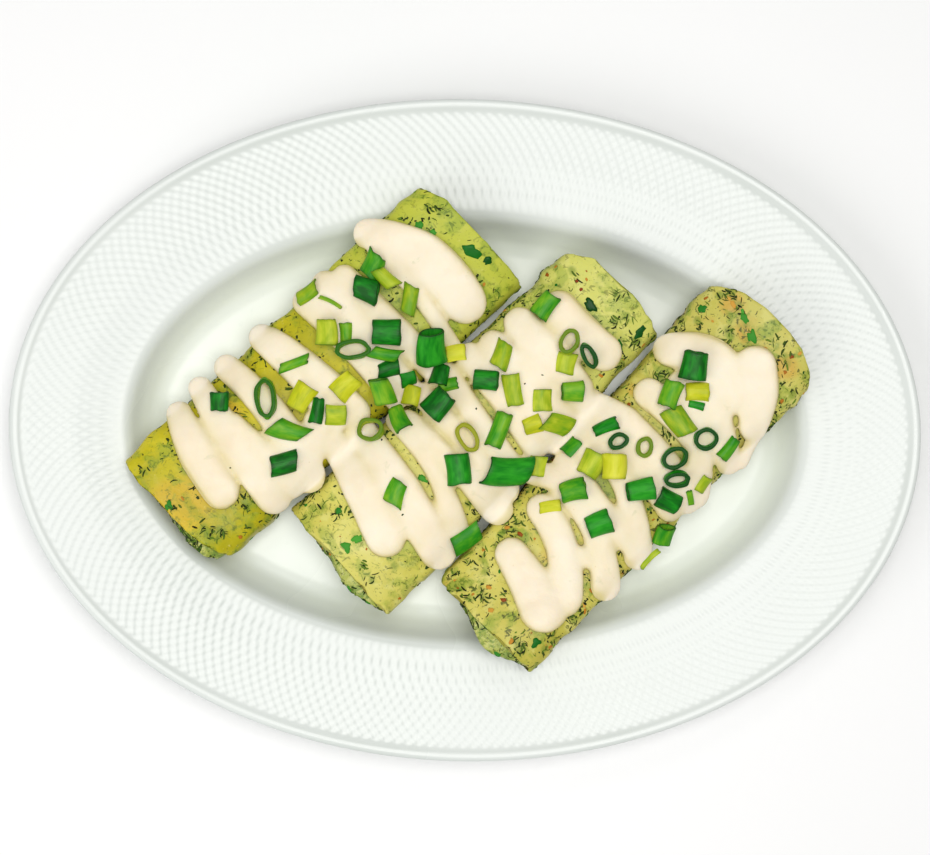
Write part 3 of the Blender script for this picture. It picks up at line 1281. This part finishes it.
class Scatter:
    """Collects many small bits in one mesh, with a shade for each."""

    def __init__(self, draw):
        self.draw = draw
        self.points = []
        self.faces = []
        self.shades = []

    def add(self, points, faces, shade):
        base = len(self.points)
        self.points.extend(points)
        self.faces.extend(tuple(base + i for i in face) for face in faces)
        self.shades.extend([shade] * len(points))

    def mesh(self, name):
        mesh = closed_mesh(name, self.points, self.faces)
        set_attribute(mesh, "shade", self.shades)
        return mesh

    def strand(self, tree, start, way, length, width, curl):
        """A thin ridge-shaped strand that follows a surface and half sinks into it."""
        point, normal, _, _ = tree.find_nearest(start)
        steps = max(3, round(length / STRAND_BIT))
        rings = []
        turn = self.draw.uniform(-curl, curl)
        for k in range(steps + 1):
            taper = math.sin(math.pi * (0.12 + 0.76 * k / steps)) ** 0.6
            aside = normal.cross(way).normalized() * (width / 2 * taper)
            sunk = normal * STRAND_SUNK * MM
            rings.append([point + aside - sunk, point + normal * width * 0.5 * taper, point - aside - sunk])
            turn += self.draw.uniform(-curl, curl) * 0.6
            way = Matrix.Rotation(turn, 3, normal) @ way
            found, new_normal, _, _ = tree.find_nearest(point + way * length / steps)
            if found is None or (found - point).length < 0.05 * MM:
                break
            way = (found - point).normalized()
            point, normal = found, new_normal
        last = 3 * (len(rings) - 1)
        faces = band_faces(3, len(rings) - 1) + [(0, 1, 2), (last, last + 1, last + 2)]
        self.add([corner for ring in rings for corner in ring], faces, self.draw.random())

    def frond(self, tree, centre, count):
        """A tuft of dill: curly strands that cross near one place."""
        main = self.tangent(tree.find_nearest(centre)[1])
        for _ in range(count):
            start, normal, _, _ = tree.find_nearest(centre + random_vector(self.draw, TUFT_SPREAD))
            way = Matrix.Rotation(self.draw.gauss(0, 0.7), 3, normal) @ main
            length = self.draw.uniform(0.9, 3.1) * MM
            width = self.draw.uniform(0.3, 0.95) * MM
            self.strand(tree, start, along_surface(way, normal), length, width, 0.22)

    def flake(self, tree, start, size, height, corners=9, shade=None):
        """An irregular thin flake, domed a little, that lies on a surface."""
        draw = self.draw
        point, normal, _, _ = tree.find_nearest(start)
        forward = self.tangent(normal)
        side = normal.cross(forward)
        longer = draw.uniform(1.0, 1.7)
        outline = []
        lobes = draw.choice((1, 2, 3))
        phase = draw.uniform(0, 2 * math.pi)
        for i in range(corners):
            angle = 2 * math.pi * i / corners + draw.uniform(-0.15, 0.15)
            wave = 0.17 * math.sin(lobes * angle + phase) + 0.09 * math.sin(5 * angle + 2 * phase)
            reach = size / 2 * (0.75 + wave + draw.uniform(-0.12, 0.12))
            outline.append(forward * math.cos(angle) * reach * longer + side * math.sin(angle) * reach)
        points = []
        for share, lift in ((1.0, -0.08 * MM), (0.92, height * 0.7), (0.5, height)):
            for offset in outline:
                found, found_normal, _, _ = tree.find_nearest(point + offset * share)
                points.append(found + found_normal * (lift + 0.12 * height * draw.uniform(-1, 1)))
        faces = band_faces(corners, 2) + [tuple(range(2 * corners, 3 * corners)), tuple(range(corners))]
        self.add(points, faces, draw.random() if shade is None else shade)

    def tangent(self, normal):
        """A random direction along a surface."""
        return along_surface(random_vector(self.draw, 1), normal)

    def flakes(self, tree, spots, least, most, height, corners=9):
        """A flake at each spot, of a size between two in millimetres."""
        for spot in spots:
            self.flake(tree, spot, self.draw.uniform(least, most) * MM, height * MM, corners)


def skin_spot(crepe, draw):
    """A point of a crepe's outer face: anywhere but its underside."""
    along = draw.uniform(0.004, 0.996)
    step = draw.uniform(-2.2, 12.2)
    return Vector(crepe.point(along, step, LAYER_PITCH * (step - SEAM_STEP) / STEPS_PER_TURN))


def end_spots(mesh, crepe, count, draw):
    """Points on the bulging start and on the recessed end of a filling."""
    spots = [(vertex.co, crepe.local(vertex.co.x, vertex.co.y)[0]) for vertex in mesh.vertices]
    low = [co for co, along in spots if along < 0.0]
    low += [co for co in low if co.z > CROWN] * 2
    high = [co for co, along in spots if along > 0.985]
    return [draw.choice(low) for _ in range(count)] + [draw.choice(high) for _ in range(count)]


def stain(mesh, spots):
    """Mark how close each vertex lies to a tuft of herbs, for the green that shows round it."""
    tree = kdtree.KDTree(len(mesh.vertices))
    for i, vertex in enumerate(mesh.vertices):
        tree.insert(vertex.co, i)
    tree.balance()
    shares = [0.0] * len(mesh.vertices)
    for spot in spots:
        for _, i, distance in tree.find_range(spot, STAIN_REACH):
            shares[i] = max(shares[i], 1 - distance / STAIN_REACH)
    set_attribute(mesh, "herb", shares)


def hidden(point, cover):
    """Whether the sauce lies right over a point."""
    return cover.ray_cast(point + UP * (0.1 * MM), UP)[0] is not None


def dropped(trees, places):
    """Tree and highest point under each place that has a surface below, with the rest of its row."""
    for x, y, *rest in places:
        hits = [(tree, tree.ray_cast(Vector((x * MM, y * MM, 0.1)), DOWN)[0]) for tree in trees]
        hits = [(tree, hit) for tree, hit in hits if hit is not None]
        if hits:
            yield (*max(hits, key=lambda pair: pair[1].z), *rest)


def placed_herbs(trees, cover, dill, leaves, bits):
    """The herbs that stand out in the photo, each on the crepe that lies under it."""
    for tree, spot, size in dropped(trees, LEAF_PLACES):
        leaves.flake(tree, spot, 1.15 * size * MM, 0.25 * MM, 18)
    for tree, spot in dropped(trees, DILL_PLACES):
        dill.frond(tree, spot, 11)
    for tree, spot in dropped([cover], SPECK_PLACES):
        dill.flake(tree, spot, dill.draw.uniform(0.7, 1.3) * MM, 0.15 * MM, 6, 0.3)
    for tree, spot, size, tone in dropped(trees, BIT_PLACES):
        bits.flake(tree, spot, size * MM, 0.2 * MM, 7, tone)


def beside_sauce(point, cover):
    """Whether a bare point lies close to the sauce, as in the slits between its strands."""
    sides = [Vector((x, y, 0)) * BESIDE for x, y in ((1, 0), (-1, 0), (0, 1), (0, -1))]
    return not hidden(point, cover) and any(hidden(point + side, cover) for side in sides)


def scatter_herbs(skins, fillings, cover):
    """Dill, leaf pieces and orange bits in the skins and in the open ends."""
    draw = random.Random(SEED + 2)
    dill = Scatter(draw)
    leaves = Scatter(draw)
    bits = Scatter(draw)
    trees = {name: surface_tree(mesh) for name, mesh in skins.items()}
    placed = [spot for _, spot in dropped(trees.values(), DILL_PLACES)]
    for crepe in CREPES:
        herbs = HERB_MIXES[crepe.name]
        tree = trees[crepe.name]

        def open_spots(count):
            spots = [skin_spot(crepe, draw) for _ in range(count)]
            return [spot for spot in spots if not hidden(spot, cover) or draw.random() < UNDER_SAUCE]

        tufts = open_spots(herbs.fronds)
        for spot in tufts:
            dill.frond(tree, spot, draw.choice(TUFT_STRANDS))
        stain(skins[crepe.name], tufts + placed)
        for spot in open_spots(herbs.flecks):
            start, normal, _, _ = tree.find_nearest(spot)
            length = draw.uniform(0.4, 2.4) * MM
            way = dill.tangent(normal)
            dill.strand(tree, start, way, length, draw.uniform(0.22, 0.6) * MM, 0.15)
        dill.flakes(tree, open_spots(herbs.flecks // 3), 0.35, 0.9, 0.18, 6)
        for spot in [skin_spot(crepe, draw) for _ in range(SLIT_TRIES)]:
            if beside_sauce(spot, cover):
                shade = draw.uniform(0.0, 0.5)
                dill.flake(tree, spot, draw.uniform(0.4, 1.5) * MM, 0.25 * MM, 6, shade)
                if draw.random() < SLIT_TUFTS:
                    dill.frond(tree, spot, 3)
        leaves.flakes(tree, open_spots(herbs.leaves), 0.8, 2.2, 0.2, 11)
        bits.flakes(tree, open_spots(herbs.bits), 0.6, 2.2, 0.18, 7)
        filling = fillings[crepe.name]
        tree = surface_tree(filling)
        for spot in end_spots(filling, crepe, END_TUFTS, draw):
            dill.frond(tree, spot, 5)
        leaves.flakes(tree, end_spots(filling, crepe, END_LEAVES, draw), 1.4, 3.6, 0.3)
        bits.flakes(tree, end_spots(filling, crepe, END_BITS, draw), 1.0, 2.2, 0.3, 7)
    placed_herbs(trees.values(), cover, dill, leaves, bits)
    return dill.mesh("dill"), leaves.mesh("leaves"), bits.mesh("bits")


# Scene

FLOOR_SIZE = 3.0  # from the middle to an edge, metres
WORLD_STRENGTH = 0.345
LIGHTS = [  # name, place in metres, size, power, colour
    ("key", (0.10, 0.04, 1.1), 0.6, 6.5, (1.0, 0.98, 0.96)),
    ("side", (-0.50, -0.40, 0.75), 0.8, 2.9, (1, 1, 1)),
    ("glint_top", (0.1, 0.6, 0.9), 0.2, 0.5, (1, 1, 1)),
]
CAMERA_HEIGHT = 0.75  # metres
SENSOR_WIDTH = 36  # mm
CAMERA_TURN = 1.45  # degrees
RIM_PLANE = 0.024  # height at which the picture's scale was measured
IMAGE_WIDTH = 930  # pixels
PIXEL_AT_RIM = 0.371 * MM  # what one pixel spans there
IMAGE_SHIFT = (0.2, 2.7)  # pixels


def add_area_light(name, place, size, power, colour):
    light = bpy.data.lights.new(name, "AREA")
    light.shape = "DISK"
    light.size = size
    light.energy = power
    light.color = colour
    obj = add_object(name, light)
    obj.location = place
    obj.rotation_euler = (-Vector(place)).to_track_quat("-Z", "Y").to_euler()


def set_stage():
    """Pale floor and soft light from all round, strongest from above, weaker from the lower left."""
    bm = bmesh.new()
    bmesh.ops.create_grid(bm, x_segments=8, y_segments=8, size=FLOOR_SIZE)
    mesh = bpy.data.meshes.new("floor")
    bm.to_mesh(mesh)
    bm.free()
    mesh.materials.append(floor_material())
    add_object("floor", mesh)
    for light in LIGHTS:
        add_area_light(*light)
    world = bpy.data.worlds.new("soft_white")
    world.use_nodes = True
    background = world.node_tree.nodes["Background"]
    background.inputs["Color"].default_value = (0.985, 0.995, 1.0, 1.0)
    background.inputs["Strength"].default_value = WORLD_STRENGTH
    bpy.context.scene.world = world
    bpy.context.scene.view_settings.view_transform = "Standard"


def set_camera():
    data = bpy.data.cameras.new("camera")
    data.sensor_fit = "HORIZONTAL"
    data.sensor_width = SENSOR_WIDTH
    data.lens = SENSOR_WIDTH * (CAMERA_HEIGHT - RIM_PLANE) / (IMAGE_WIDTH * PIXEL_AT_RIM)
    data.shift_x = IMAGE_SHIFT[0] / IMAGE_WIDTH
    data.shift_y = IMAGE_SHIFT[1] / IMAGE_WIDTH
    data.clip_start = 0.01
    camera = add_object("camera", data)
    camera.location = (0, 0, CAMERA_HEIGHT)
    camera.rotation_euler = (0, 0, math.radians(CAMERA_TURN))
    bpy.context.scene.camera = camera


def build():
    add_piece("oval_plate", plate_mesh(), glaze_material(), ["plate"])
    skins = {}
    fillings = {}
    inner = filling_material()
    for crepe in CREPES:
        name = crepe.name
        skins[name] = skin_mesh(crepe)
        fillings[name] = filling_mesh(crepe)
        add_piece("skin_" + name, skins[name], skin_material(name), ["crepe_" + name])
        add_piece("core_" + name, fillings[name], inner, ["filling_" + name])
    sauce = sauce_piece(cream_material())
    cover = surface_tree(sauce.data)
    materials = {tone: scallion_material(tone) for tone in SCALLION_COLOURS}
    scallions(materials, [cover] + [surface_tree(mesh) for mesh in skins.values()])
    dill, leaves, bits = scatter_herbs(skins, fillings, cover)
    add_piece("dill_strands", dill, bit_material("dill", "1c260c", "34491a", "6a8a2a"))
    add_piece("leaf_flakes", leaves, bit_material("leaf", "0f4212", "1a6e1c", "4a9c30", 0.42))
    add_piece("orange_bits", bits, bit_material("orange_bit", "863810", "be7f28", "d2a042", 0.45))


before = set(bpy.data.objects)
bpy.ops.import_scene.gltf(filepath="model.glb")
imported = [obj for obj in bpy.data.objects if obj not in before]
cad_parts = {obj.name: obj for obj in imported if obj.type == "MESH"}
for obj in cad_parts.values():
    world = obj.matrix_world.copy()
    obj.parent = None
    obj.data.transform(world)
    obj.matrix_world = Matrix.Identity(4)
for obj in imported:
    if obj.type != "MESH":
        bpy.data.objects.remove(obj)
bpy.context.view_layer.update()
build()
set_stage()
set_camera()
